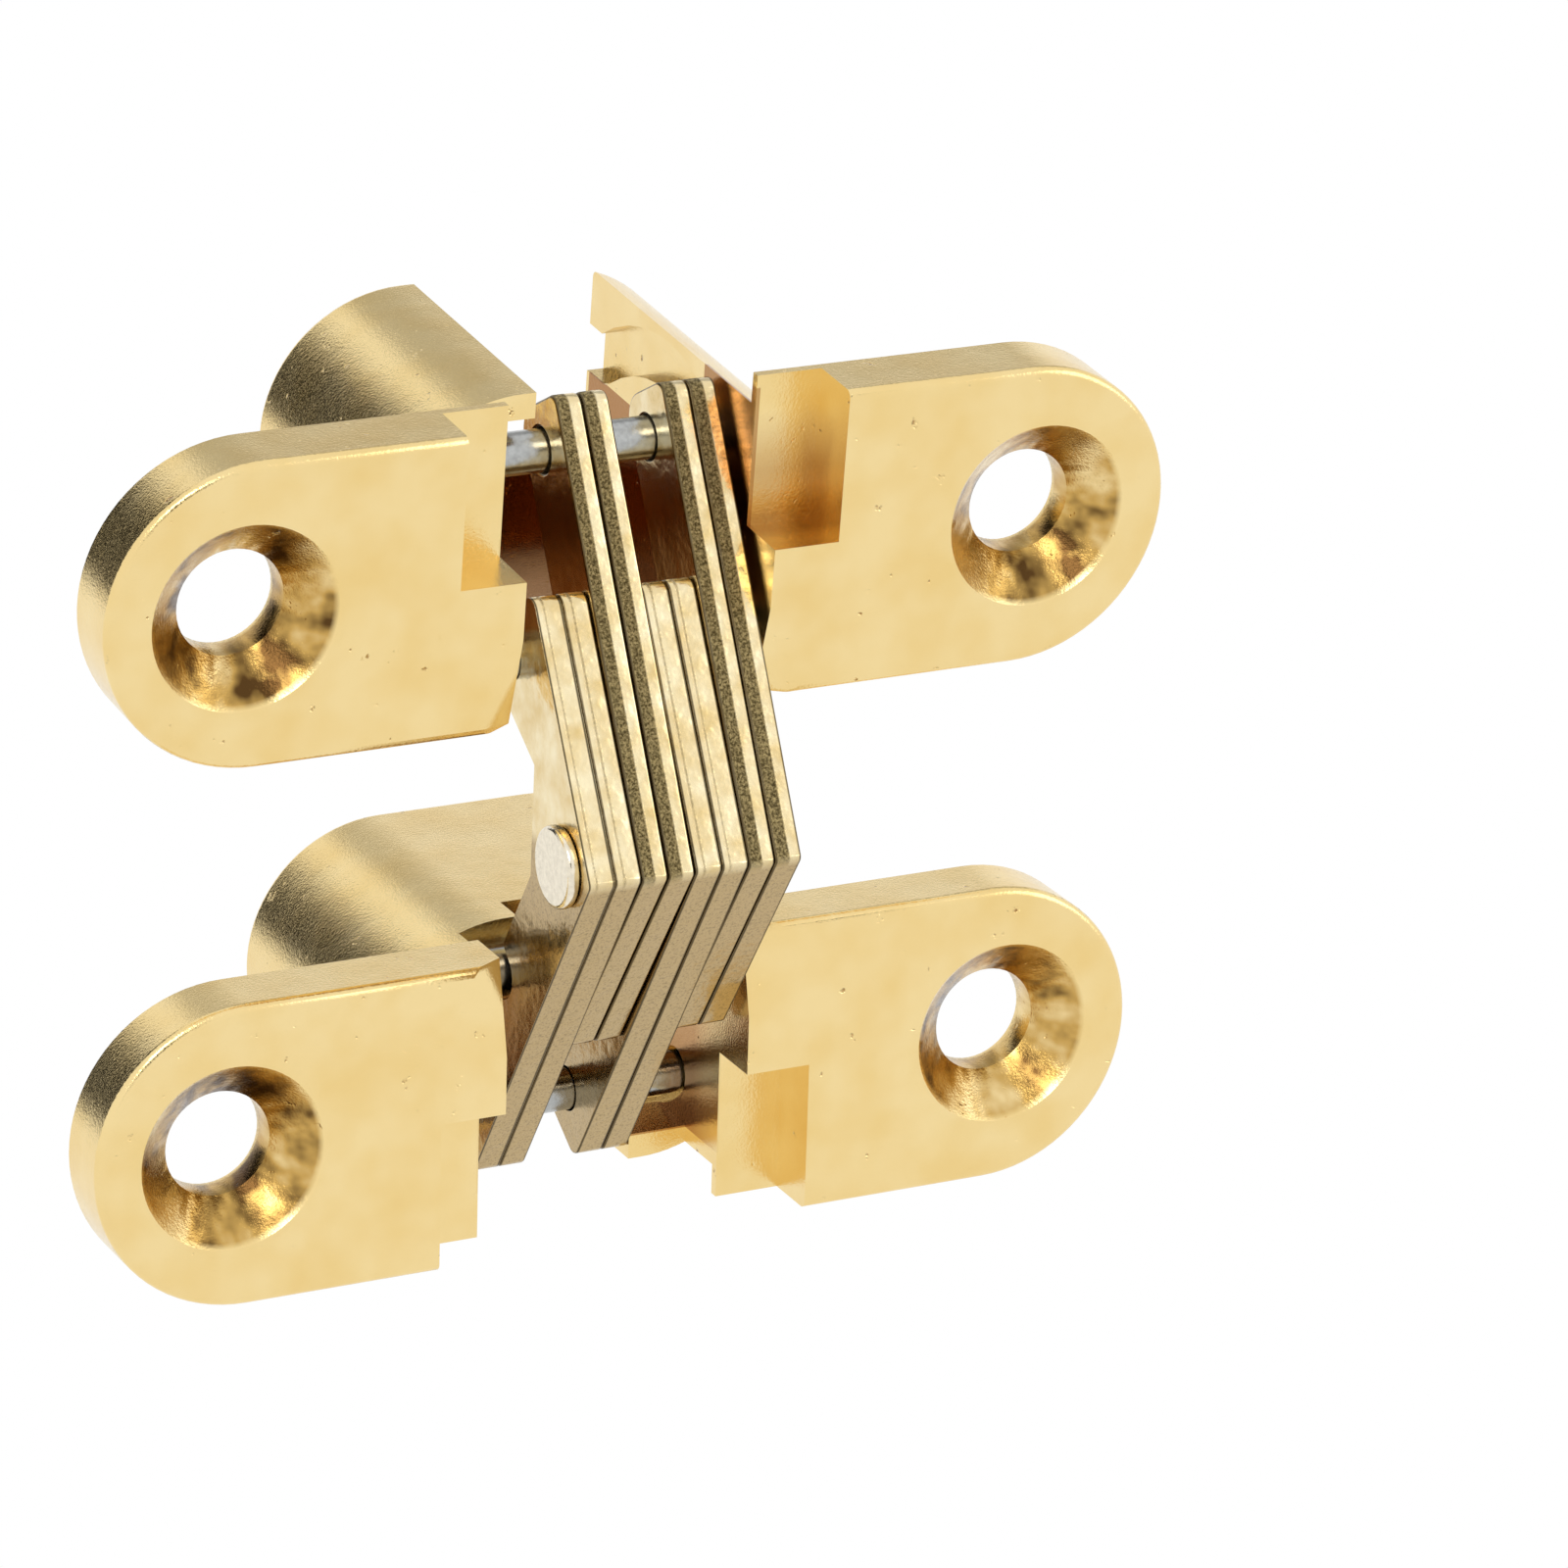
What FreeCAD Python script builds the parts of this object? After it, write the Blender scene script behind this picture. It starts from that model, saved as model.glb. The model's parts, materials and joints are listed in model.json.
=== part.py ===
import FreeCAD, Part
import Sketcher
import math
import os

# Concealed invisible door hinge, in millimetres.
# X runs along the leaves, +Y goes into the wood behind the faces, +Z is up.
# The origin lies midway between the upper leaf's two screw holes, at the back of its face plate.
# The upper leaf carries plates pivoted near its inner edge. They cross the plates of the
# lower leaf at the centre rivet, and their long arms end at a pin that slides in the lower leaf.

doc = FreeCAD.newDocument("concealed_hinge")
sheet = doc.addObject("Spreadsheet::Sheet", "Sizes")

sizes = [
    # the die-cast leaf
    ("leafLength", 46.4),
    ("leafWidth", 13.0),
    ("faceThickness", 3.0),
    ("faceEdgeRound", 0.35),
    ("holeInset", 5.85),
    ("holeRadius", 2.25),
    ("sinkRadius", 3.95),
    ("sinkAngle", 90.0),
    ("barrelLength", 18.8),
    ("barrelWidth", 12.0),
    ("barrelDepth", 18.0),
    ("barrelEdgeRound", 0.3),
    ("edgeStep", 0.05),
    # the pocket and the cuts around it
    ("sideWall", 3.95),
    ("outerWall", 1.1),
    ("innerWall", 1.2),
    ("notchInset", 1.1),
    ("notchDepth", 2.6),
    ("innerMouthDepth", 4.9),
    ("innerNotchDepth", 6.6),
    ("facetReach", 1.6),
    ("facetRise", 4.0),
    ("facetDepth", 0.9),
    ("outerNotchDepth", 5.6),
    ("webHeight", 2.0),
    ("webThickness", 1.0),
    ("grooveDepth", 0.75),
    # the stamped link plates
    ("sidePlay", 0.745),
    ("plateGap", 0.03),
    ("plateShift", 0.45),
    ("armAngle", 31.0),
    ("armWidth", 3.85),
    ("ridgeReach", 2.45),
    ("backReach", 3.0),
    ("waistHeight", 3.2),
    ("endRadius", 1.9),
    ("ridgeRound", 0.3),
    ("frontCornerRound", 0.6),
    ("backCornerRound", 1.3),
    # the pivots, in the leaf's own frame: height towards the outer edge, depth from the face
    ("rivetHeight", 11.8),
    ("rivetFront", 2.0),
    ("pivotHeight", 4.9),
    ("pivotDepth", 3.5),
    ("slideHeight", 2.4),
    ("slideDepth", 6.8),
    ("closedGap", 0.3),
    ("restOpening", 174.8),
    # the pins
    ("pinRadius", 0.9),
    ("rivetRadius", 0.95),
    ("rivetHeadRadius", 1.7),
    ("rivetHeadHeight", 0.5),
    ("rivetHeadRound", 0.2),
    ("rivetTailHeight", 0.15),
    ("pinCover", 3.4),
    ("endPlay", 0.15),
    ("runningFit", 0.05),
    ("slideFit", 0.15),
    ("reliefFit", 0.2),
]

# sizes that follow from the others
derived = {
    "holeSpacing": "(leafLength-2*holeInset)",
    "plateThickness": "((pocketWidth-2*sidePlay-7*plateGap)/8)",
    "slidePinLength": "(pocketWidth+2*grooveDepth-2*endPlay)",
    "pocketWidth": "(barrelLength-2*sideWall)",
    "notchWidth": "(barrelLength-2*notchInset)",
    "pivotPinLength": "(barrelLength-2*pinCover)",
}

for row, (alias, number) in enumerate(sizes, start=1):
    sheet.set("A%d" % row, alias)
    sheet.set("B%d" % row, str(number))
    sheet.setAlias("B%d" % row, alias)
doc.recompute()


def cells(formula):
    # a formula written with bare aliases, turned into one that reads the sheet
    words = sorted((alias for alias, number in sizes), key=len, reverse=True)
    text = formula
    for word, rule in derived.items():
        text = text.replace(word, rule)
    for place, word in enumerate(words):
        text = text.replace(word, "{%d}" % place)
    for place, word in enumerate(words):
        text = text.replace("{%d}" % place, "Sizes." + word)
    return text


workSheet = doc.addObject("Spreadsheet::Sheet", "Worked")
known = {}


def worth(formula):
    # the number that a formula gives, worked out once in a cell of a sheet of its own
    if formula not in known:
        cell = "A%d" % (len(known) + 1)
        workSheet.set(cell, "=" + cells(formula))
        workSheet.recompute()
        known[formula] = float(workSheet.get(cell))
    return known[formula]


def size(alias):
    return worth(alias) if alias in derived else float(sheet.get(alias))


def bind(item, **formulas):
    for name, formula in formulas.items():
        item.setExpression(name.replace("__", "."), cells(formula))


# Linkage
# A point of the linkage is a complex number: its real part is the height, its imaginary
# part the depth, both in the upper leaf's frame. Closing turns the parts from height to depth.
pivotPoint = complex(-size("pivotHeight"), size("pivotDepth"))
slidePoint = complex(size("slideHeight"), size("slideDepth"))
rivetPoint = complex(-size("rivetHeight"), -size("rivetFront"))
shortArm = pivotPoint - rivetPoint
longArm = slidePoint - rivetPoint


def mirrored(point):
    return complex(-point.real, point.imag)


def turned(point, angle):
    return point * complex(math.cos(angle), math.sin(angle))


def closedPivotTurn():
    # the turn about the pivot that brings the rivet to half the gap in front of the face
    rise = pivotPoint.imag + size("closedGap") / 2
    closedAngle = math.pi - math.asin(rise / abs(shortArm))
    return closedAngle - math.atan2(shortArm.imag, shortArm.real)


pivotTurn = closedPivotTurn()
slideTurn = math.pi - pivotTurn


def rivetAt(share):
    return pivotPoint - turned(shortArm, pivotTurn * share)


def slideAt(share):
    return rivetAt(share) + turned(longArm, slideTurn * share)


restShare = (180.0 - size("restOpening")) / 180.0


# Helpers
def axisTurn(axis, degrees):
    return FreeCAD.Rotation(FreeCAD.Vector(*axis), degrees)


def block(name, left, right, front, back, low, high):
    item = doc.addObject("Part::Box", name)
    bind(item, Length="(%s)-(%s)" % (right, left), Width="(%s)-(%s)" % (back, front),
         Height="(%s)-(%s)" % (high, low), Placement__Base__x=left,
         Placement__Base__y=front, Placement__Base__z=low)
    return item


def rod(name, radius, length, along, x, y, z):
    # a cylinder along +X or +Y from its start point
    item = doc.addObject("Part::Cylinder", name)
    turn = axisTurn((0, 1, 0), 90) if along == "X" else axisTurn((1, 0, 0), -90)
    item.Placement = FreeCAD.Placement(FreeCAD.Vector(), turn)
    bind(item, Radius=radius, Height=length, Placement__Base__x=x,
         Placement__Base__y=y, Placement__Base__z=z)
    return item


def fused(name, pieces):
    item = doc.addObject("Part::MultiFuse", name)
    item.Shapes = pieces
    item.Refine = True
    return item


def cut(name, base, tools):
    item = doc.addObject("Part::Cut", name)
    item.Base = base
    item.Tool = tools
    item.Refine = True
    return item


def rounded(name, base, radiusAlias, isWanted):
    # rounds the edges of base that isWanted picks
    doc.recompute()
    item = doc.addObject("Part::Fillet", name)
    item.Base = base
    radius = size(radiusAlias)
    item.Edges = [(number, radius, radius)
                  for number, edge in enumerate(base.Shape.Edges, start=1) if isWanted(edge)]
    return item


def obround(name, length, width, depth, height):
    # a plate with half-round ends, its flat front on the face plane
    ends = "(%s)/2-(%s)/2" % (length, width)
    middle = block(name + "Middle", "-(%s)" % ends, ends, "0", depth,
                   "(%s)-(%s)/2" % (height, width), "(%s)+(%s)/2" % (height, width))
    left = rod(name + "Left", "(%s)/2" % width, depth, "Y", "-(%s)" % ends, "0", height)
    right = rod(name + "Right", "(%s)/2" % width, depth, "Y", ends, "0", height)
    return fused(name, [middle, left, right])


def liesAt(edge, depth):
    box = edge.BoundBox
    return abs(box.YMin - depth) < 1e-6 and abs(box.YMax - depth) < 1e-6


# Leaf
# One casting: a face plate with two countersunk holes and a half-round ended barrel behind it.
innerEdge = "-leafWidth/2"
barrelMiddle = "barrelWidth/2+edgeStep-leafWidth/2"
barrelOuter = "barrelWidth+edgeStep-leafWidth/2"
pocketInner = "innerWall+edgeStep-leafWidth/2"
pocketOuter = "(%s-outerWall)" % barrelOuter
pocketSide = "pocketWidth/2"
groupEdge = "(2*plateThickness+2.5*plateGap+plateShift)"


def leafSolid(name):
    plate = obround(name + "Plate", "leafLength", "leafWidth", "faceThickness", "0")
    plateSoft = rounded(name + "PlateSoft", plate, "faceEdgeRound", lambda edge: liesAt(edge, 0))
    barrel = obround(name + "Barrel", "barrelLength", "barrelWidth", "barrelDepth", barrelMiddle)
    back = size("barrelDepth")
    barrelSoft = rounded(name + "BarrelSoft", barrel, "barrelEdgeRound",
                         lambda edge: liesAt(edge, back))
    return fused(name + "Casting", [plateSoft, barrelSoft])


def screwHoles(name):
    pieces = []
    for side, sign in (("Left", "-"), ("Right", "")):
        place = sign + "holeSpacing/2"
        pieces.append(rod(name + side + "Hole", "holeRadius", "faceThickness+2", "Y",
                          place, "-1", "0"))
        sink = doc.addObject("Part::Cone", name + side + "Sink")
        sink.Placement = FreeCAD.Placement(FreeCAD.Vector(), axisTurn((1, 0, 0), -90))
        bind(sink, Radius1="sinkRadius", Radius2="holeRadius",
             Height="(sinkRadius-holeRadius)/tan(sinkAngle/2*1deg)", Placement__Base__x=place)
        pieces.append(sink)
    return pieces


def pocketCuts(name):
    deep = "barrelDepth+1"
    outside = "leafWidth/2+1"
    below = "-leafWidth/2-1"
    left = "-" + pocketSide
    pocket = block(name + "Pocket", left, pocketSide, "-1", deep, pocketInner, pocketOuter)
    web = block(name + "Web", left + "-1", pocketSide + "+1", "barrelDepth-webThickness",
                deep + "+1", pocketInner + "-1", pocketInner + "+webHeight")
    return [
        cut(name + "PocketShape", pocket, web),
        block(name + "Notch", "-notchWidth/2", "notchWidth/2", "-1", "notchDepth", "0", outside),
        block(name + "Mouth", left, pocketSide, "-1", "innerMouthDepth", below, "0"),
        block(name + "MouthNotch", left, groupEdge, "-1", "innerNotchDepth", below, "0"),
        block(name + "OuterSlot", "-" + groupEdge, pocketSide, "-1", deep, "0", outside),
        block(name + "OuterNotch", left, "0", "-1", "outerNotchDepth", "0", outside),
    ]


def facetCut(name, side):
    # a corner of the face beside the pocket's mouth, sloped off to the inner edge
    wall = side * size("pocketWidth") / 2
    low = -size("leafWidth") / 2
    over = 0.5
    grow = 1 + over / size("facetRise")
    apex = FreeCAD.Vector(wall, 0, low + size("facetRise"))

    def spread(x, y, z):
        return apex + (FreeCAD.Vector(x, y, z) - apex) * grow

    corner = spread(wall, 0, low)
    along = spread(wall + side * size("facetReach"), 0, low)
    into = spread(wall, size("facetDepth"), low)
    front = FreeCAD.Vector(0, -over, 0)
    lift = apex + front
    points = [apex, corner, along, into, lift, corner + front, along + front]
    faces = [(0, 2, 3), (0, 3, 1, 5, 4), (3, 2, 6, 5, 1), (4, 5, 6), (0, 4, 6, 2)]
    shell = Part.Shell([Part.Face(Part.makePolygon([points[k] for k in face + face[:1]]))
                        for face in faces])
    item = doc.addObject("Part::Feature", name)
    solid = Part.Solid(shell)
    if solid.Volume < 0:
        solid.reverse()
    item.Shape = solid
    return item


def pinBores(name):
    length = "pivotPinLength+0.1"
    start = "-(pivotPinLength+0.1)/2"
    return [rod(name + "PivotBore", "pinRadius", length, "X", start, "pivotDepth", "-pivotHeight")]


def grooveCut(name):
    # follows the sliding pin's path in the side walls, and runs out at the back for assembly
    reach = size("pocketWidth") / 2 + size("grooveDepth")
    radius = size("pinRadius") + size("slideFit")
    steps = 12
    path = [slideAt(step / steps) for step in range(steps + 1)]
    last = path[-1]
    path.append(complex(last.real, size("barrelDepth") + radius))
    pieces = []
    for first, second in zip(path, path[1:]):
        pieces.append(Part.makeCylinder(radius, 2 * reach, FreeCAD.Vector(-reach, first.imag,
                      first.real), FreeCAD.Vector(1, 0, 0)))
        along = (second - first) / abs(second - first)
        side = along * complex(0, radius)
        corners = [first + side, second + side, second - side, first - side, first + side]
        wire = Part.makePolygon([FreeCAD.Vector(-reach, point.imag, point.real)
                                 for point in corners])
        pieces.append(Part.Face(wire).extrude(FreeCAD.Vector(2 * reach, 0, 0)))
    item = doc.addObject("Part::Feature", name)
    item.Shape = pieces[0].multiFuse(pieces[1:]).removeSplitter()
    return item


def leaf(label):
    tools = screwHoles(label) + pocketCuts(label) + pinBores(label)
    tools += [facetCut(label + "LeftFacet", -1), facetCut(label + "RightFacet", 1)]
    tools.append(grooveCut(label + "Groove"))
    body = cut(label, leafSolid(label), fused(label + "Cuts", tools))
    body.Label = label
    return body


# Link plates
# Each plate is a bent bar: a short arm to its pivot and a long arm to its sliding pin,
# with a ridge in front of the rivet, a straight back behind it, and a relief for the
# other leaf's pivot pin.
alongCos = "cos(armAngle*1deg)"
alongSin = "sin(armAngle*1deg)"
longRun = ("((rivetHeight+slideHeight)*%s+(slideDepth+rivetFront+ridgeReach)*%s+endRadius)"
           % (alongCos, alongSin))
shortRun = ("((rivetHeight-pivotHeight)*%s+(pivotDepth+rivetFront+ridgeReach)*%s+endRadius)"
            % (alongCos, alongSin))
waistRun = "((backReach+ridgeReach-armWidth*%s)/%s)" % (alongCos, alongSin)

# the outline's corners: depth and height from the rivet's centre, and which arm each is on
ridge = ("-ridgeReach", "0", 0)
longFront = ("%s*%s-ridgeReach" % (longRun, alongSin), "%s*%s" % (longRun, alongCos), -1)
longBack = ("%s+armWidth*%s" % (longFront[0], alongCos),
            "%s-armWidth*%s" % (longFront[1], alongSin), -1)
longWaist = ("backReach", "%s*%s-armWidth*%s" % (waistRun, alongCos, alongSin), -1)
shortWaist = ("backReach", "waistHeight", 1)
shortFront = ("%s*%s-ridgeReach" % (shortRun, alongSin), "%s*%s" % (shortRun, alongCos), 1)
pivotSeat = ("pivotDepth+rivetFront", "rivetHeight-pivotHeight", 1)
slideSeat = ("slideDepth+rivetFront", "rivetHeight+slideHeight", -1)


def spot(corner, side):
    across, up, arm = corner
    return FreeCAD.Vector(worth(across), worth(up) * arm * side, 0)


def linkBody(label, isUpper):
    body = doc.addObject("PartDesign::Body", label)
    body.Label = label
    plane = [item for item in body.Origin.OriginFeatures if item.Role == "YZ_Plane"][0]
    side = 1 if isUpper else -1
    outline = body.newObject("Sketcher::SketchObject", label + "Outline")
    outline.AttachmentSupport = [(plane, "")]
    outline.MapMode = "FlatFace"
    drawOutline(outline, side)
    pad = body.newObject("PartDesign::Pad", label + "Pad")
    pad.Profile = outline
    bind(pad, Length="plateThickness")
    relief = body.newObject("Sketcher::SketchObject", label + "ReliefShape")
    relief.AttachmentSupport = [(plane, "")]
    relief.MapMode = "FlatFace"
    drawRelief(relief, side)
    pocket = body.newObject("PartDesign::Pocket", label + "Relief")
    pocket.Profile = relief
    pocket.Type = 1
    pocket.Midplane = True
    last = pocket
    for name, radius, corners in (("Ridge", "ridgeRound", [ridge]),
                                  ("FrontCorner", "frontCornerRound", [longFront, shortFront]),
                                  ("BackCorner", "backCornerRound", [longBack])):
        doc.recompute()
        fillet = body.newObject("PartDesign::Fillet", label + name)
        fillet.Base = (last, [edgeAt(last.Shape, spot(corner, side)) for corner in corners])
        bind(fillet, Radius=radius)
        last = fillet
    body.Tip = last
    return body


def edgeAt(shape, place):
    # the edge along X that passes nearest to a point of the outline
    best = None
    for number, edge in enumerate(shape.Edges, start=1):
        box = edge.BoundBox
        if box.XLength > size("plateThickness") / 2 and box.YLength + box.ZLength < 1e-6:
            gap = math.hypot(box.YMin - place.x, box.ZMin - place.y)
            if best is None or gap < best[0]:
                best = (gap, "Edge%d" % number)
    return best[1]


def hold(sketch, geometry, vertex, corner, side):
    # ties a point to its depth and its height from the rivet's centre
    across, up, arm = corner
    place = sketch.getPoint(geometry, vertex)
    if place.x < 0:
        rule = Sketcher.Constraint("DistanceX", geometry, vertex, -1, 1, -place.x)
        across = across.lstrip("-")
    else:
        rule = Sketcher.Constraint("DistanceX", -1, 1, geometry, vertex, place.x)
    sketch.setExpression("Constraints[%d]" % sketch.addConstraint(rule), cells(across))
    if arm == 0:
        sketch.addConstraint(Sketcher.Constraint("PointOnObject", geometry, vertex, -1))
        return
    if arm * side > 0:
        rule = Sketcher.Constraint("DistanceY", -1, 1, geometry, vertex, place.y)
    else:
        rule = Sketcher.Constraint("DistanceY", geometry, vertex, -1, 1, -place.y)
    sketch.setExpression("Constraints[%d]" % sketch.addConstraint(rule), cells(up))


def pinHole(sketch, radius, geometry, vertex):
    place = sketch.getPoint(geometry, vertex)
    value = size(radius) + size("runningFit")
    hole = sketch.addGeometry(Part.Circle(place, FreeCAD.Vector(0, 0, 1), value))
    sketch.addConstraint(Sketcher.Constraint("Coincident", hole, 3, geometry, vertex))
    number = sketch.addConstraint(Sketcher.Constraint("Radius", hole, value))
    sketch.setExpression("Constraints[%d]" % number, cells(radius + "+runningFit"))


def seatGuide(sketch, seat, side):
    # a construction line from the rivet's centre to a pin's centre
    guide = sketch.addGeometry(Part.LineSegment(FreeCAD.Vector(), spot(seat, side)), True)
    sketch.addConstraint(Sketcher.Constraint("Coincident", guide, 1, -1, 1))
    hold(sketch, guide, 2, seat, side)
    return guide


def drawOutline(sketch, side):
    toPivot = seatGuide(sketch, pivotSeat, side)
    toSlide = seatGuide(sketch, slideSeat, side)
    seat = spot(pivotSeat, side)
    radius = size("endRadius")
    waist = spot(shortWaist, side)
    reach = waist.distanceToPoint(seat)
    heading = math.atan2(waist.y - seat.y, waist.x - seat.x)
    swing = math.acos(radius / reach)
    angle = math.radians(size("armAngle"))
    endHeading = side * (math.pi / 2 - angle)
    startHeading = heading + side * swing
    touch = seat + FreeCAD.Vector(math.cos(startHeading), math.sin(startHeading), 0) * radius
    top = seat + FreeCAD.Vector(math.cos(endHeading), math.sin(endHeading), 0) * radius
    corners = [ridge, longFront, longBack, longWaist, shortWaist]
    spots = [spot(corner, side) for corner in corners]
    lines = [sketch.addGeometry(Part.LineSegment(first, second))
             for first, second in zip(spots, spots[1:] + [touch])]
    end = sketch.addGeometry(Part.LineSegment(top, spot(shortFront, side)))
    front = sketch.addGeometry(Part.LineSegment(spot(shortFront, side), spots[0]))
    circle = Part.Circle(seat, FreeCAD.Vector(0, 0, 1), radius)
    turns = sorted([startHeading, endHeading])
    arc = sketch.addGeometry(Part.ArcOfCircle(circle, turns[0], turns[1]))
    for first, second in zip(lines, lines[1:]):
        sketch.addConstraint(Sketcher.Constraint("Coincident", first, 2, second, 1))
    sketch.addConstraint(Sketcher.Constraint("Coincident", end, 2, front, 1))
    sketch.addConstraint(Sketcher.Constraint("Coincident", front, 2, lines[0], 1))
    for line, corner in zip(lines, corners):
        hold(sketch, line, 1, corner, side)
    hold(sketch, front, 1, shortFront, side)
    sketch.addConstraint(Sketcher.Constraint("Coincident", arc, 3, toPivot, 2))
    number = sketch.addConstraint(Sketcher.Constraint("Radius", arc, radius))
    sketch.setExpression("Constraints[%d]" % number, cells("endRadius"))
    nearTouch = sketch.getPoint(arc, 1).distanceToPoint(touch) < radius / 4
    touchEnd, topEnd = (1, 2) if nearTouch else (2, 1)
    sketch.addConstraint(Sketcher.Constraint("Tangent", arc, touchEnd, lines[-1], 2))
    sketch.addConstraint(Sketcher.Constraint("Tangent", arc, topEnd, end, 1))
    pinHole(sketch, "pinRadius", toPivot, 2)
    pinHole(sketch, "pinRadius", toSlide, 2)
    pinHole(sketch, "rivetRadius", -1, 1)


def drawRelief(sketch, side):
    # a round-bottomed notch where the other leaf's pivot pin lies when the hinge is open
    guide = seatGuide(sketch, pivotSeat, -side)
    seat = spot(pivotSeat, -side)
    radius = size("pinRadius") + size("reliefFit")
    along = seat * (1 / seat.Length)
    away = FreeCAD.Vector(-along.y, along.x, 0)
    if away.x < 0:
        away = away * -1
    length = size("armWidth")
    mouthNear = seat - along * radius + away * length
    mouthFar = seat + along * radius + away * length
    near = sketch.addGeometry(Part.LineSegment(seat - along * radius, mouthNear))
    mouth = sketch.addGeometry(Part.LineSegment(mouthNear, mouthFar))
    far = sketch.addGeometry(Part.LineSegment(mouthFar, seat + along * radius))
    heading = math.atan2(-away.y, -away.x)
    circle = Part.Circle(seat, FreeCAD.Vector(0, 0, 1), radius)
    arc = sketch.addGeometry(Part.ArcOfCircle(circle, heading - math.pi / 2,
                                              heading + math.pi / 2))
    nearStart = sketch.getPoint(arc, 1).distanceToPoint(sketch.getPoint(near, 1)) < radius
    nearEnd, farEnd = (1, 2) if nearStart else (2, 1)
    sketch.addConstraint(Sketcher.Constraint("Coincident", near, 2, mouth, 1))
    sketch.addConstraint(Sketcher.Constraint("Coincident", mouth, 2, far, 1))
    sketch.addConstraint(Sketcher.Constraint("Coincident", arc, 3, guide, 2))
    sketch.addConstraint(Sketcher.Constraint("Tangent", arc, nearEnd, near, 1))
    sketch.addConstraint(Sketcher.Constraint("Tangent", arc, farEnd, far, 2))
    sketch.addConstraint(Sketcher.Constraint("Parallel", mouth, guide))
    sketch.addConstraint(Sketcher.Constraint("Perpendicular", near, guide))
    number = sketch.addConstraint(Sketcher.Constraint("Radius", arc, radius))
    sketch.setExpression("Constraints[%d]" % number, cells("pinRadius+reliefFit"))
    number = sketch.addConstraint(Sketcher.Constraint("Distance", near, length))
    sketch.setExpression("Constraints[%d]" % number, cells("armWidth"))


# Pins
def plainPin(label, length):
    pin = rod(label, "pinRadius", length, "X", "-%s/2" % length, "0", "0")
    pin.Label = label
    return pin


def centreRivet(label):
    # a headed pin, its tail dressed nearly flush with the last plate
    stack = "(8*plateThickness+7*plateGap)"
    head = "(plateGap+rivetHeadHeight)"
    shank = rod(label + "Shank", "rivetRadius", "%s+%s+rivetTailHeight" % (stack, head), "X",
                "plateShift-%s/2-%s" % (stack, head), "0", "0")
    cap = rod(label + "Cap", "rivetHeadRadius", "rivetHeadHeight", "X",
              "plateShift-%s/2-%s" % (stack, head), "0", "0")
    whole = fused(label + "Whole", [shank, cap])
    doc.recompute()
    front = cap.Shape.BoundBox.XMin
    rivet = rounded(label, whole, "rivetHeadRound",
                    lambda edge: abs(edge.BoundBox.XMin - front) < 1e-6
                    and edge.BoundBox.XLength < 1e-6)
    rivet.Label = label
    return rivet


# Assembly
# The parts are drawn with their depth counted from the upper leaf's front face. The row's
# origin lies at the back of its face plate, so everything moves forward by that thickness.
def place(item, x, point, turn, flip=False):
    rotation = axisTurn((1, 0, 0), -math.degrees(turn))
    if flip:
        rotation = rotation * axisTurn((0, 1, 0), 180)
    depth = point.imag - size("faceThickness")
    item.Placement = FreeCAD.Placement(FreeCAD.Vector(x, depth, point.real), rotation)


def placePin(item, point):
    # a pin lies along X and keeps its own start
    bind(item, Placement__Base__y="%.9f-faceThickness" % point.imag)
    item.setExpression("Placement.Base.z", "%.9f" % point.real)


upperLeaf = leaf("upper_leaf")
lowerLeaf = leaf("lower_leaf")
rivetNow = rivetAt(restShare)
upperTurn = pivotTurn * restShare
lowerTurn = slideTurn * restShare
lowerPivot = rivetNow + turned(mirrored(shortArm), lowerTurn)
lowerOrigin = lowerPivot + turned(complex(pivotPoint.real, -pivotPoint.imag), math.pi * restShare)
place(upperLeaf, 0, 0j, 0)
place(lowerLeaf, 0, lowerOrigin, math.pi * restShare, flip=True)

pieces = [upperLeaf, lowerLeaf]
pitch = size("plateThickness") + size("plateGap")
stackLeft = size("plateShift") - 4 * size("plateThickness") - 3.5 * size("plateGap")
for number in range(8):
    isUpper = number % 4 < 2
    plate = linkBody("link_plate_%d" % (number + 1), isUpper)
    place(plate, stackLeft + number * pitch, rivetNow, upperTurn if isUpper else lowerTurn)
    pieces.append(plate)

rivet = centreRivet("centre_rivet")
place(rivet, 0, rivetNow, upperTurn)
pieces.append(rivet)

pins = [
    ("upper_pivot_pin", "pivotPinLength", pivotPoint),
    ("lower_pivot_pin", "pivotPinLength", lowerPivot),
    ("upper_sliding_pin", "slidePinLength", slideAt(restShare)),
    ("lower_sliding_pin", "slidePinLength", rivetNow + turned(mirrored(longArm), upperTurn)),
]
for label, lengthAlias, point in pins:
    pin = plainPin(label, lengthAlias)
    placePin(pin, point)
    pieces.append(pin)

doc.recompute()

for item in doc.Objects:
    for state in item.State:
        if state in ("Invalid", "Error"):
            raise RuntimeError("%s failed to build" % item.Label)

os.makedirs("parts", exist_ok=True)
for piece in pieces:
    shape = piece.Shape
    if shape.isNull() or not shape.isValid() or len(shape.Solids) != 1:
        raise RuntimeError("%s is not one sound solid" % piece.Label)
    shape.exportStep("parts/%s.step" % piece.Label)
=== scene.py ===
import bpy
import bmesh
import json
import math
from mathutils import Matrix, Vector


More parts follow.
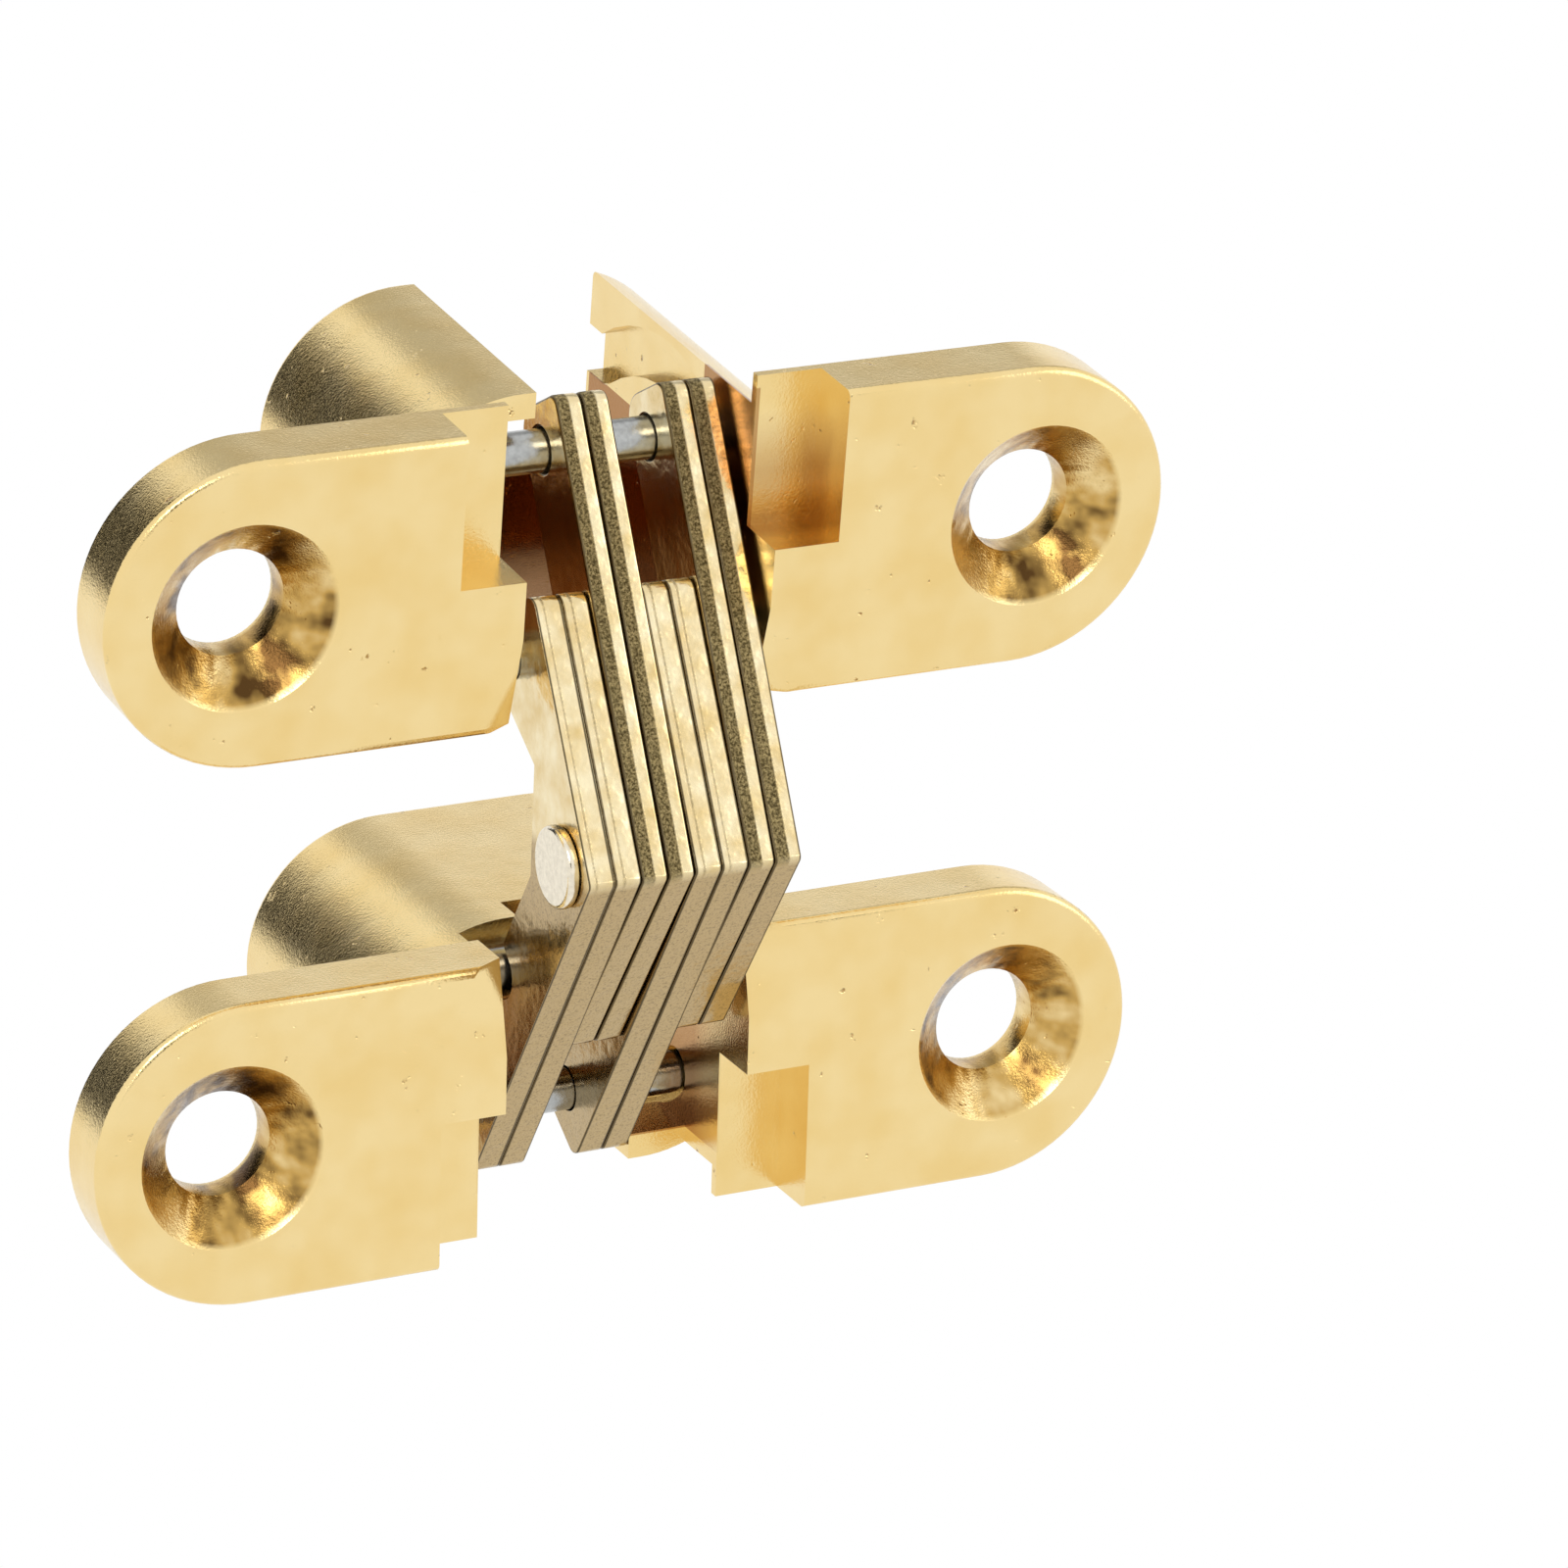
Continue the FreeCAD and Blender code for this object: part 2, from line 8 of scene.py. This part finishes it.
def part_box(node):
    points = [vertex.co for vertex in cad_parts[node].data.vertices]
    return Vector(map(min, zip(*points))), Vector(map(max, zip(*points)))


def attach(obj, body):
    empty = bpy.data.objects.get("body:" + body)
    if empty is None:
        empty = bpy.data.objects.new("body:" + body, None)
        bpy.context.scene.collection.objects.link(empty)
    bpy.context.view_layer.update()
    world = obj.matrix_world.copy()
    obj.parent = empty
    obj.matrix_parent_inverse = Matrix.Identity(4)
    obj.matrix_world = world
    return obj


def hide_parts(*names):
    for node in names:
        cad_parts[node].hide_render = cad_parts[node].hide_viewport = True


# Concealed door hinge in bright gold plating, in metres.
# X runs along the leaves, +Y goes into the wood behind the faces, +Z is up.

mm = 0.001
scene = bpy.context.scene
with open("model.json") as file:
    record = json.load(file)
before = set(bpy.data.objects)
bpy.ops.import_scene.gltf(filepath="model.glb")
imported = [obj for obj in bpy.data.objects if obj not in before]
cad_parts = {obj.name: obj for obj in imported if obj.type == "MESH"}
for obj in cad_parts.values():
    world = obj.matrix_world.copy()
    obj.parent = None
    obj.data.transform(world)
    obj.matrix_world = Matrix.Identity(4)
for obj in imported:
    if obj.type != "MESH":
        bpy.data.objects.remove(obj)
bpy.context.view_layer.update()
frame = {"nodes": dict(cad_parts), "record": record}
print("loaded the packed hinge with", len(frame["nodes"]), "nodes")


# Node helpers
def newMaterial(name):
    material = bpy.data.materials.new(name)
    material.use_nodes = True
    nodes = material.node_tree.nodes
    nodes.clear()
    output = nodes.new("ShaderNodeOutputMaterial")
    shader = nodes.new("ShaderNodeBsdfPrincipled")
    material.node_tree.links.new(shader.outputs["BSDF"], output.inputs["Surface"])
    return material, nodes, material.node_tree.links, shader


def objectCoords(nodes, links, offset=(0, 0, 0), stretch=(1, 1, 1)):
    # Object coordinates in millimetres, moved and stretched
    coords = nodes.new("ShaderNodeTexCoord")
    mapping = nodes.new("ShaderNodeMapping")
    mapping.inputs["Location"].default_value = offset
    mapping.inputs["Scale"].default_value = [value / mm for value in stretch]
    links.new(coords.outputs["Object"], mapping.inputs["Vector"])
    return mapping.outputs["Vector"]


def ownCoords(nodes, links, centre, turn, half=(1, 1, 1)):
    # Object coordinates about a centre and turned about X, in shares of half
    own = nodes.new("ShaderNodeMapping")
    own.vector_type = "TEXTURE"
    own.inputs["Location"].default_value = centre
    own.inputs["Rotation"].default_value = (math.radians(turn), 0, 0)
    own.inputs["Scale"].default_value = half
    links.new(objectCoords(nodes, links), own.inputs["Vector"])
    return own.outputs["Vector"]


def splitOf(nodes, links, vector):
    split = nodes.new("ShaderNodeSeparateXYZ")
    links.new(vector, split.inputs["Vector"])
    return split.outputs


def mathOf(nodes, links, operation, first, second=None):
    maths = nodes.new("ShaderNodeMath")
    maths.operation = operation
    links.new(first, maths.inputs[0])
    if isinstance(second, bpy.types.NodeSocket):
        links.new(second, maths.inputs[1])
    elif second is not None:
        maths.inputs[1].default_value = second
    return maths.outputs[0]


def rangeOf(nodes, links, source, zero, one):
    # 0 where the source is zero, 1 where it is one, and level beyond them
    span = nodes.new("ShaderNodeMapRange")
    span.inputs["From Min"].default_value = zero
    span.inputs["From Max"].default_value = one
    links.new(source, span.inputs["Value"])
    return span.outputs["Result"]


def noiseOf(nodes, links, vector, scale, detail=2.0, rough=0.5):
    noise = nodes.new("ShaderNodeTexNoise")
    noise.inputs["Scale"].default_value = scale
    noise.inputs["Detail"].default_value = detail
    noise.inputs["Roughness"].default_value = rough
    links.new(vector, noise.inputs["Vector"])
    return noise.outputs["Fac"]


def rampOf(nodes, links, source, places, colors):
    ramp = nodes.new("ShaderNodeValToRGB")
    elements = ramp.color_ramp.elements
    while len(elements) < len(places):
        elements.new(0.5)
    for element, place, color in zip(elements, places, colors):
        element.position = place
        element.color = (*color, 1) if isinstance(color, tuple) else (color, color, color, 1)
    links.new(source, ramp.inputs["Fac"])
    return ramp.outputs["Color"]


def mixOf(nodes, links, factor, first, second, blend="MIX"):
    mix = nodes.new("ShaderNodeMix")
    mix.data_type = "RGBA"
    mix.blend_type = blend
    for socket, value in ((mix.inputs[0], factor), (mix.inputs[6], first), (mix.inputs[7], second)):
        if isinstance(value, bpy.types.NodeSocket):
            links.new(value, socket)
        elif isinstance(value, tuple):
            socket.default_value = (*value, 1)
        else:
            socket.default_value = value
    return mix.outputs[2]


def bumpOf(nodes, links, height, distance, under=None):
    bump = nodes.new("ShaderNodeBump")
    bump.inputs["Strength"].default_value = 1.0
    bump.inputs["Distance"].default_value = distance * mm
    links.new(height, bump.inputs["Height"])
    if under:
        links.new(under, bump.inputs["Normal"])
    return bump.outputs["Normal"]


# Finishes: each noise has its scale, its detail and, where it isn't 0.5, its roughness
black = (0.0, 0.0, 0.0)
castFinish = {
    "gold": (0.90, 0.70, 0.34),
    "deepGold": (0.86, 0.63, 0.26),
    "goldRange": (0.35, 0.7),
    "wave": (0.35, 2),
    "waveHeight": 0.03,
    "grain": (9.0, 3, 0.6),
    "grainRange": (0.3, 0.7),
    "grainHeight": 0.014,
    "roughness": (0.10, 0.22),
    "pits": (1.1, 3, 0.7),
    "pitColor": (0.36, 0.19, 0.06),
    "pitColorRange": (0.70, 0.76),
    "pitRange": (0.68, 0.76),
    "pitHeight": 0.05,
    # the brown painted shade in the pockets, and where it fades in from the front
    "shade": (0.37, 0.145, 0.027),
    "shadeFront": (-1.0, -0.65),
    "swirl": (0.42, 3, 0.6),
    "swirlStretch": (1, 0.4, 1),
    "swirlPlaces": (0.36, 0.5, 0.66),
    # the countersinks' colours: partly real brown stains, partly painted shade and dark reflection
    "sinkDark": (0.10, 0.05, 0.015),
    "sinkAmber": (0.58, 0.36, 0.10),
    "sinkPale": (0.86, 0.66, 0.32),
}


def insideBox(nodes, links, centre, turn, half, soft):
    # 1 inside a box of half sizes about its centre, turned about X, fading in from its front
    # and out over the share soft of its half sizes
    own = ownCoords(nodes, links, centre, turn, half)
    size = nodes.new("ShaderNodeVectorMath")
    size.operation = "ABSOLUTE"
    links.new(own, size.inputs[0])
    sides = splitOf(nodes, links, size.outputs["Vector"])
    largest = sides["X"]
    for axis in ("Y", "Z"):
        largest = mathOf(nodes, links, "MAXIMUM", largest, sides[axis])
    inside = rampOf(nodes, links, largest, (1.0 - soft, 1.0), (1.0, 0.0))
    front = rangeOf(nodes, links, splitOf(nodes, links, own)["Y"], *castFinish["shadeFront"])
    return mixOf(nodes, links, 1.0, inside, front, "MULTIPLY")


# the screw holes in a leaf's own millimetres: how far out they are, and over which radii and
# which depths their colour fades out
sinkArea = {"out": 17.35, "rim": (3.92, 3.72), "depth": (2.95, 2.75)}


def inSinks(nodes, links, centre, turn):
    # 1 inside the two screw holes of a leaf, from its centre and its turn about X
    sides = splitOf(nodes, links, ownCoords(nodes, links, centre, turn))
    out = mathOf(nodes, links, "ABSOLUTE", sides["X"])
    along = mathOf(nodes, links, "SUBTRACT", out, sinkArea["out"])
    joined = nodes.new("ShaderNodeCombineXYZ")
    links.new(along, joined.inputs["X"])
    links.new(sides["Z"], joined.inputs["Z"])
    reach = nodes.new("ShaderNodeVectorMath")
    reach.operation = "LENGTH"
    links.new(joined.outputs["Vector"], reach.inputs[0])
    near = rangeOf(nodes, links, reach.outputs["Value"], *sinkArea["rim"])
    front = rangeOf(nodes, links, sides["Y"], *sinkArea["depth"])
    return mixOf(nodes, links, 1.0, near, front, "MULTIPLY")


# each leaf's centre and its turn about X
leafCentres = {"upper": ((0, -3.0, 0), 0.0), "lower": ((0, -4.05, -23.10), -5.2)}
# where each leaf gets brown painted shade in its pocket and notch recesses: a box's centre, its
# turn about X, its half sizes, how much of them fades out, and how strong the painted shade is
paintedShadeBoxes = {
    "upper": [
        ((0.0, 7.05, -2.30), 0.0, (5.55, 7.75, 3.1), 0.008, 0.9),
        ((5.45, 1.6, 1.0), 0.0, (0.17, 2.7, 5.0), 0.015, 0.85),
        ((7.0, -0.3, 0.6), 0.0, (6.0, 2.0, 4.4), 0.6, 0.5),
    ],
    "lower": [
        ((0.0, 6.0, -23.61), -5.2, (5.55, 7.75, 4.95), 0.008, 0.8),
    ],
}


def castGold(name, place, boxes, leafCentre):
    values = castFinish
    material, nodes, links, shader = newMaterial(name)
    vector = objectCoords(nodes, links, place)
    wave = noiseOf(nodes, links, vector, *values["wave"])
    grain = noiseOf(nodes, links, vector, *values["grain"])
    pits = noiseOf(nodes, links, vector, *values["pits"])
    tone = rampOf(nodes, links, wave, values["goldRange"], (values["gold"], values["deepGold"]))
    pitMask = rampOf(nodes, links, pits, values["pitColorRange"], (0.0, 1.0))
    color = mixOf(nodes, links, pitMask, tone, values["pitColor"])
    # brown painted shade inside each leaf's pocket and notch, one box at a time
    for centre, turn, half, soft, depth in boxes:
        inside = insideBox(nodes, links, centre, turn, half, soft)
        shade = mixOf(nodes, links, depth, black, inside)
        color = mixOf(nodes, links, shade, color, values["shade"])
    # the countersinks are rough turned and coloured in brown patches: partly real stains, partly
    # painted shade and dark reflection
    sinks = inSinks(nodes, links, *leafCentre)
    stretched = objectCoords(nodes, links, place, values["swirlStretch"])
    swirl = noiseOf(nodes, links, stretched, *values["swirl"])
    sinkStainAndShade = rampOf(nodes, links, swirl, values["swirlPlaces"],
                     (values["sinkDark"], values["sinkAmber"], values["sinkPale"]))
    color = mixOf(nodes, links, sinks, color, sinkStainAndShade)
    links.new(color, shader.inputs["Base Color"])
    shader.inputs["Metallic"].default_value = 1.0
    rough = rampOf(nodes, links, grain, values["grainRange"], values["roughness"])
    links.new(rough, shader.inputs["Roughness"])
    normal = bumpOf(nodes, links, wave, values["waveHeight"])
    normal = bumpOf(nodes, links, grain, values["grainHeight"], normal)
    pitHeight = rampOf(nodes, links, pits, values["pitRange"], (1.0, 0.0))
    normal = bumpOf(nodes, links, pitHeight, values["pitHeight"], normal)
    links.new(normal, shader.inputs["Normal"])
    return material


# the painted gap shade's places are shares of the plate's thickness, counted from its middle
linkFinish = {
    "thickness": 1.15,
    "gold": (0.76, 0.57, 0.26),
    "burnish": (0.94, 0.82, 0.54),
    "burnishNoise": (0.8, 3),
    "burnishRange": (0.3, 0.7),
    "burnishRoughness": 0.2,
    "bandSoft": 0.04,
    "fracture": (0.09, 0.065, 0.025),
    "fractureLight": (0.50, 0.39, 0.18),
    "fractureRange": (0.42, 0.62),
    "fractureRoughness": 0.5,
    "fractureHeight": 0.10,
    "speck": (9.0, 4, 0.75),
    "ridgeHeight": -11.5,
    "ridgeSoft": 0.3,
    # below the ridge: a darker colour that is painted shade, and the specks in it
    "shadedBelow": (0.50, 0.365, 0.18),
    "shadedBelowSpeck": (0.25, 0.18, 0.09),
    "shadedBelowSpeckRange": (0.5, 0.66),
    "shadedBelowSpeckDepth": 0.8,
    # a painted shade line in the gaps between neighbouring plates
    "gapShade": (0.06, 0.04, 0.015),
    "gapShadePlaces": (0.40, 0.44, 0.485, 0.497),
    "gapShadeDepth": 0.9,
    "wave": (1.6, 2),
    "waveHeight": 0.03,
}
outsideIn = (0.0, 1.0, 1.0, 0.0)


def linkGold(name, left, bandFrom, bandTo, depth):
    # above the ridge the stamped edge has a dark torn band beside a smooth burnished one, across
    # the plate's thickness, and below it the edge is painted darker and speckled, a painted shade
    values = linkFinish
    soft = values["bandSoft"]
    material, nodes, links, shader = newMaterial(name)
    vector = objectCoords(nodes, links)
    sides = splitOf(nodes, links, vector)
    across = rangeOf(nodes, links, sides["X"], left, left + values["thickness"])
    band = rampOf(nodes, links, across,
                  (bandFrom - soft, bandFrom + soft, bandTo - soft, bandTo + soft), outsideIn)
    speck = noiseOf(nodes, links, vector, *values["speck"])
    torn = rampOf(nodes, links, speck, values["fractureRange"],
                  (values["fracture"], values["fractureLight"]))
    burnish = noiseOf(nodes, links, vector, *values["burnishNoise"])
    smooth = rampOf(nodes, links, burnish, values["burnishRange"],
                    (values["burnish"], values["gold"]))
    upper = rangeOf(nodes, links, sides["Z"], values["ridgeHeight"] - values["ridgeSoft"],
                    values["ridgeHeight"] + values["ridgeSoft"])
    band = mixOf(nodes, links, 1.0, band, upper, "MULTIPLY")
    strength = mixOf(nodes, links, depth, black, band)
    # below the ridge the edge colour is painted shade, darker and speckled
    specks = rampOf(nodes, links, speck, values["shadedBelowSpeckRange"], (0.0, values["shadedBelowSpeckDepth"]))
    shadedBelow = mixOf(nodes, links, specks, values["shadedBelow"], values["shadedBelowSpeck"])
    smoothAboveShadedBelow = mixOf(nodes, links, upper, shadedBelow, smooth)
    color = mixOf(nodes, links, strength, smoothAboveShadedBelow, torn)
    # painted shade: a dark line just inside each side of the plate, where the next plate lies
    # against it
    middle = mathOf(nodes, links, "SUBTRACT", across, 0.5)
    away = mathOf(nodes, links, "ABSOLUTE", middle)
    gapShade = rampOf(nodes, links, away, values["gapShadePlaces"], outsideIn)
    gapShadeDepth = mixOf(nodes, links, values["gapShadeDepth"], black, gapShade)
    color = mixOf(nodes, links, gapShadeDepth, color, values["gapShade"])
    links.new(color, shader.inputs["Base Color"])
    shader.inputs["Metallic"].default_value = 1.0
    rough = mixOf(nodes, links, strength, (values["burnishRoughness"],) * 3,
                  (values["fractureRoughness"],) * 3)
    links.new(rough, shader.inputs["Roughness"])
    lumps = mixOf(nodes, links, strength, (0.5, 0.5, 0.5), speck)
    normal = bumpOf(nodes, links, lumps, values["fractureHeight"])
    wave = noiseOf(nodes, links, vector, *values["wave"])
    normal = bumpOf(nodes, links, wave, values["waveHeight"], normal)
    links.new(normal, shader.inputs["Normal"])
    return material


# plain metals: colour, roughness and the grain's height
plainMetals = {
    "rivetGold": ((0.90, 0.82, 0.66), 0.18, 0.01),
    "pinSteel": ((0.48, 0.49, 0.48), 0.24, 0.01),
}
plainGrain = {"noise": (4.0, 3), "range": (0.35, 0.75), "darker": 0.8}


def plainMetal(name):
    color, roughness, grainHeight = plainMetals[name]
    material, nodes, links, shader = newMaterial(name)
    grain = noiseOf(nodes, links, objectCoords(nodes, links), *plainGrain["noise"])
    darker = tuple(value * plainGrain["darker"] for value in color)
    tone = rampOf(nodes, links, grain, plainGrain["range"], (color, darker))
    links.new(tone, shader.inputs["Base Color"])
    shader.inputs["Metallic"].default_value = 1.0
    shader.inputs["Roughness"].default_value = roughness
    links.new(bumpOf(nodes, links, grain, grainHeight), shader.inputs["Normal"])
    return material


def paint(item, material):
    item.data.materials.clear()
    item.data.materials.append(material)


# Pieces: bevel widths and the weld distance in millimetres, angles in degrees
edgeFinish = {
    "leaf": 0.16,
    "plate": 0.2,
    "rivet": 0.12,
    "corner": 35.0,
    "segments": 2,
    "weld": 0.001,
    "flat": 0.8,
    "faceWeight": 100,
}


def softened(node, body, material, width):
    # a copy of a CAD node with its sharp corners eased
    mesh = frame["nodes"][node].data.copy()
    mesh.name = node + "Soft"
    bm = bmesh.new()
    bm.from_mesh(mesh)
    bmesh.ops.remove_doubles(bm, verts=bm.verts, dist=edgeFinish["weld"] * mm)
    bmesh.ops.dissolve_limit(bm, angle_limit=math.radians(edgeFinish["flat"]), verts=bm.verts,
                             edges=bm.edges, delimit={"NORMAL"})
    bm.to_mesh(mesh)
    bm.free()
    piece = bpy.data.objects.new(node + "Soft", mesh)
    scene.collection.objects.link(piece)
    mesh.shade_smooth()
    bevel = piece.modifiers.new("easedCorners", "BEVEL")
    bevel.width = width * mm
    bevel.segments = edgeFinish["segments"]
    bevel.limit_method = "ANGLE"
    bevel.angle_limit = math.radians(edgeFinish["corner"])
    normals = piece.modifiers.new("flatFaces", "WEIGHTED_NORMAL")
    normals.keep_sharp = True
    normals.weight = edgeFinish["faceWeight"]
    paint(piece, material)
    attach(piece, body)
    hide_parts(node)
    return piece


bodies = {node: body for body, members in frame["record"]["behaviour"]["bodies"].items()
          for node in members}

upperGold = castGold("castGoldUpper", (0, 0, 0), paintedShadeBoxes["upper"], leafCentres["upper"])
lowerGold = castGold("castGoldLower", (31, 7, 13), paintedShadeBoxes["lower"], leafCentres["lower"])
for node, material in (("upper_leaf", upperGold), ("lower_leaf", lowerGold)):
    piece = softened(node, bodies[node], material, edgeFinish["leaf"])
print("eased the two leaves")

# each plate's torn band: where it begins and ends across the thickness, and how strong it is
plateEdges = {
    1: (0.28, 0.36, 0.6), 2: (0.30, 0.40, 0.6), 3: (0.06, 0.50, 1.0), 4: (0.06, 0.52, 1.0),
    5: (0.28, 0.38, 0.6), 6: (0.26, 0.34, 0.6), 7: (0.06, 0.52, 1.0), 8: (0.06, 0.55, 1.0),
}
for number, (bandFrom, bandTo, depth) in plateEdges.items():
    node = "link_plate_%d" % number
    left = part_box(node)[0].x / mm
    material = linkGold("linkGold%d" % number, left, bandFrom, bandTo, depth)
    piece = softened(node, bodies[node], material, edgeFinish["plate"])
print("eased the eight link plates")

rivet = softened("centre_rivet", bodies["centre_rivet"], plainMetal("rivetGold"),
                 edgeFinish["rivet"])

pinSteel = plainMetal("pinSteel")
for node in ("upper_pivot_pin", "lower_pivot_pin", "upper_sliding_pin", "lower_sliding_pin"):
    paint(frame["nodes"][node], pinSteel)
print("finished the rivet and the pins")

# Studio
studio = {
    "floorDrop": 0.16,
    "floorSize": 3.0,
    "floorColor": (0.90, 0.90, 0.89),
    "floorRoughness": 0.9,
    "diffuseSky": 0.85,
    "seenWhite": 1.0,
}
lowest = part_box("lower_leaf")[0].z


def cameraWhite(nodes, links, surface, white, output):
    # what the camera, a mirror or glass looks at directly is plain white
    path = nodes.new("ShaderNodeLightPath")
    direct = path.outputs["Is Camera Ray"]
    for ray in ("Is Glossy Ray", "Is Transmission Ray"):
        direct = mathOf(nodes, links, "MAXIMUM", direct, path.outputs[ray])
    mix = nodes.new("ShaderNodeMixShader")
    white.inputs["Strength"].default_value = studio["seenWhite"]
    links.new(direct, mix.inputs[0])
    links.new(surface, mix.inputs[1])
    links.new(white.outputs[0], mix.inputs[2])
    links.new(mix.outputs[0], output.inputs["Surface"])


def makeWorld():
    world = bpy.data.worlds.new("softRoom")
    world.use_nodes = True
    scene.world = world
    nodes = world.node_tree.nodes
    nodes.clear()
    output = nodes.new("ShaderNodeOutputWorld")
    room = nodes.new("ShaderNodeBackground")
    room.inputs["Strength"].default_value = studio["diffuseSky"]
    white = nodes.new("ShaderNodeBackground")
    white.inputs["Color"].default_value = (1, 1, 1, 1)
    cameraWhite(nodes, world.node_tree.links, room.outputs[0], white, output)


def flatSheet(name, size, matrix):
    mesh = bpy.data.meshes.new(name)
    bm = bmesh.new()
    bmesh.ops.create_grid(bm, x_segments=1, y_segments=1, size=size)
    bmesh.ops.transform(bm, matrix=matrix, verts=bm.verts)
    bm.to_mesh(mesh)
    bm.free()
    sheet = bpy.data.objects.new(name, mesh)
    scene.collection.objects.link(sheet)
    return sheet


def makeFloor():
    drop = Matrix.Translation((0, 0, lowest - studio["floorDrop"]))
    floor = flatSheet("floor", studio["floorSize"], drop)
    material, nodes, links, shader = newMaterial("paleFloor")
    shader.inputs["Base Color"].default_value = (*studio["floorColor"], 1)
    shader.inputs["Roughness"].default_value = studio["floorRoughness"]
    white = nodes.new("ShaderNodeEmission")
    output = [node for node in nodes if node.type == "OUTPUT_MATERIAL"][0]
    cameraWhite(nodes, links, shader.outputs[0], white, output)
    floor.data.materials.append(material)


# boards that only show as reflections: centre, half width, half height, brightness
boards = {
    "upperBack": ((0.30, 0.60, 0.42), 0.35, 0.20, 0.52),
    "barrelStripe": ((-0.29, 0.44, 0.16), 0.11, 0.30, 0.03),
    "behindCamera": ((-0.20, -0.62, 0.34), 0.16, 0.12, 0.10),
}


def makeBoard(name, centre, halfWidth, halfHeight, brightness):
    turn = Vector(centre).to_track_quat("Z", "Y").to_matrix().to_4x4()
    size = Matrix.Diagonal((halfWidth, halfHeight, 1, 1))
    board = flatSheet(name, 1, Matrix.Translation(centre) @ turn @ size)
    board.visible_camera = False
    board.visible_shadow = False
    material, nodes, links, shader = newMaterial(name)
    shader.inputs["Base Color"].default_value = (0, 0, 0, 1)
    shader.inputs["Roughness"].default_value = 1.0
    shader.inputs["Specular IOR Level"].default_value = 0.0
    shader.inputs["Emission Color"].default_value = (1, 1, 1, 1)
    shader.inputs["Emission Strength"].default_value = brightness
    board.data.materials.append(material)


# square lamps that look at the origin: place, side, power
lamps = {
    "keyBox": ((-0.5, -0.7, 0.9), 0.5, 3.0),
    "fillBox": ((0.8, -0.5, 0.4), 0.6, 1.5),
}


def makeLamp(name, place, side, power):
    light = bpy.data.lights.new(name, "AREA")
    light.shape = "SQUARE"
    light.size = side
    light.energy = power
    lamp = bpy.data.objects.new(name, light)
    lamp.location = place
    lamp.rotation_euler = Vector(place).to_track_quat("Z", "Y").to_euler()
    scene.collection.objects.link(lamp)


makeWorld()
makeFloor()
for name, values in boards.items():
    makeBoard(name, *values)
for name, values in lamps.items():
    makeLamp(name, *values)
print("set up the studio")

# Camera
cameraView = {
    "place": (-0.123279, -0.246259, 0.118220),
    "turn": (64.9130, -4.0244, -26.2287),
    "lens": 172.129,
    "sensor": 36.0,
    "nearest": 0.01,
}
cameraData = bpy.data.cameras.new("photoCamera")
cameraData.lens = cameraView["lens"]
cameraData.sensor_width = cameraView["sensor"]
cameraData.clip_start = cameraView["nearest"]
camera = bpy.data.objects.new("photoCamera", cameraData)
camera.location = cameraView["place"]
camera.rotation_euler = [math.radians(value) for value in cameraView["turn"]]
scene.collection.objects.link(camera)
scene.camera = camera
scene.view_settings.view_transform = "Standard"

print("placed the camera")
